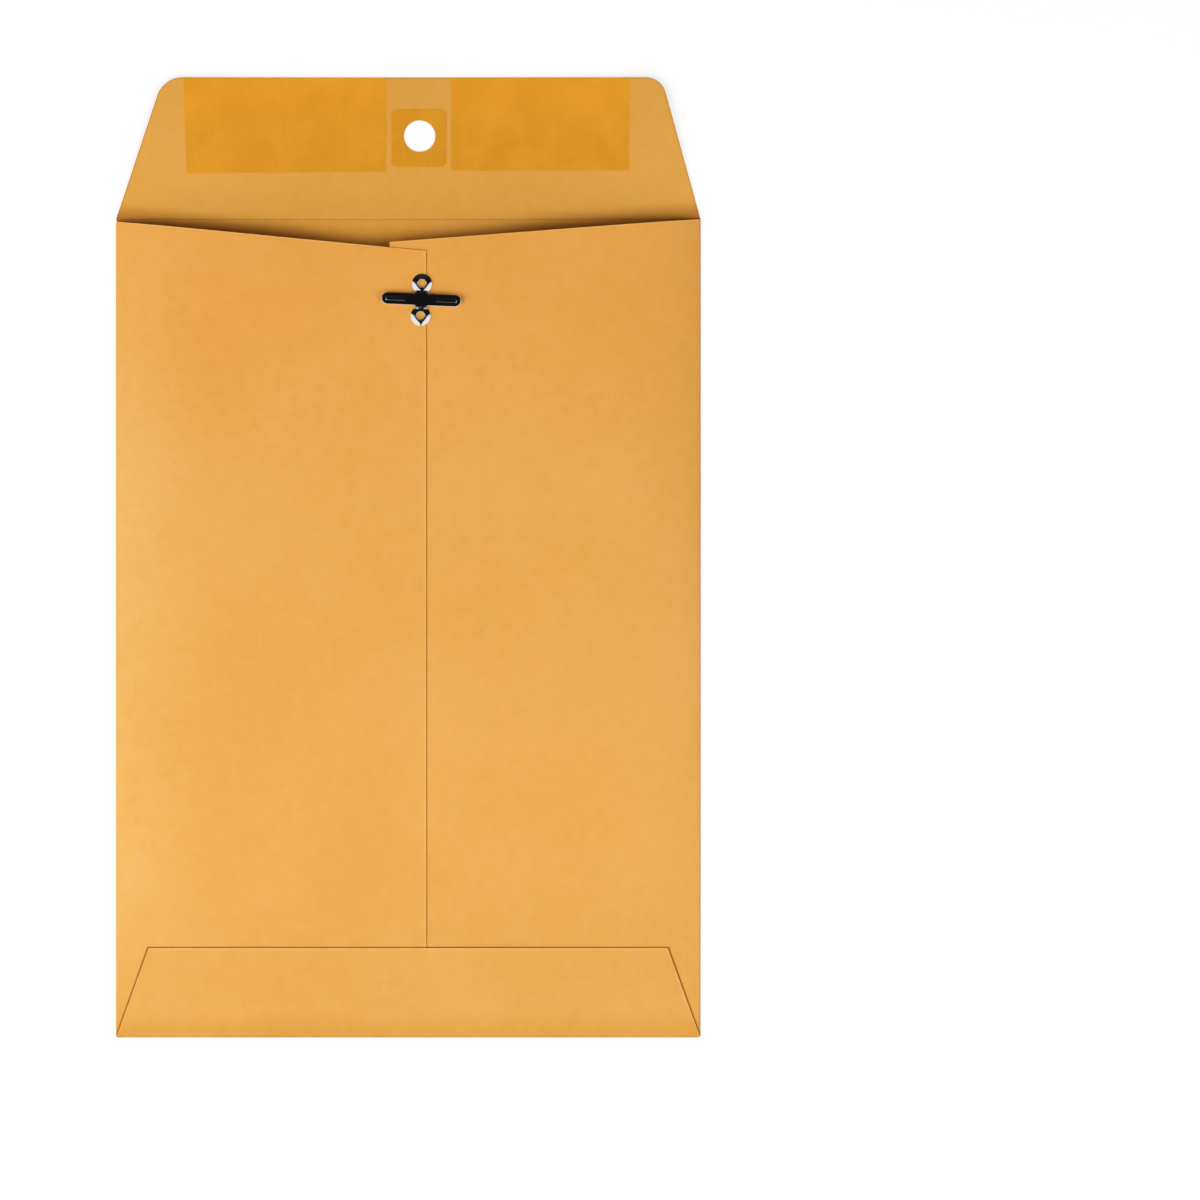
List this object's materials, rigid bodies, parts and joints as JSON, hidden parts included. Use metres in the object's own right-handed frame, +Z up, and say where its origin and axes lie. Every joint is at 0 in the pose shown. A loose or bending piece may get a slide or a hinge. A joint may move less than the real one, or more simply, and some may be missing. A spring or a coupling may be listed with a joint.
{
  "type": "clasp envelope",
  "caption": "Kraft paper catalogue envelope with a hinged gummed flap, a reinforced clasp hole and a stamped tin clasp whose prongs bend up through the hole.",
  "frame": {"origin": "middle of the address face, the plain outer face of the body that the envelope lies on", "axes": "+X to the right as the clasp side is read, +Y from the bottom fold to the closure flap, +Z up out of the clasp side"},
  "size_m": [0.1906, 0.313, 0.0075],
  "materials": {
    "kraft_paper": "matte",
    "kraft_flap": "matte",
    "gum": "satin",
    "patch_paper": "satin",
    "glue": "satin",
    "tin_plate": "polished"
  },
  "bodies": {
    "body": {"front_panel": "kraft_paper", "left_back_panel": "kraft_paper", "right_back_panel": "kraft_paper", "bottom_flap": "kraft_paper", "seam_glue": "glue", "bottom_flap_glue": "glue", "clasp_base": "tin_plate"},
    "flap": {"closure_flap": "kraft_flap", "gum_left": "gum", "gum_right": "gum", "hole_patch": "patch_paper"},
    "left_prong": {"clasp_prong_left": "tin_plate"},
    "right_prong": {"clasp_prong_right": "tin_plate"}
  },
  "joints": [
    {"name": "flap_fold", "type": "hinge", "parent": "body", "child": "flap", "pos_m": [0, 0.13335, 0.00345], "axis": [1, 0, 0], "range_deg": [0, 180]},
    {"name": "left_prong_bend", "type": "hinge", "parent": "body", "child": "left_prong", "pos_m": [0.0022, 0.10694, 0.00726], "axis": [0.0419, 0.9991, 0], "range_deg": [0, 90]},
    {"name": "right_prong_bend", "type": "hinge", "parent": "body", "child": "right_prong", "pos_m": [0.0066, 0.10676, 0.00726], "axis": [-0.0419, -0.9991, 0], "range_deg": [0, 90]}
  ]
}
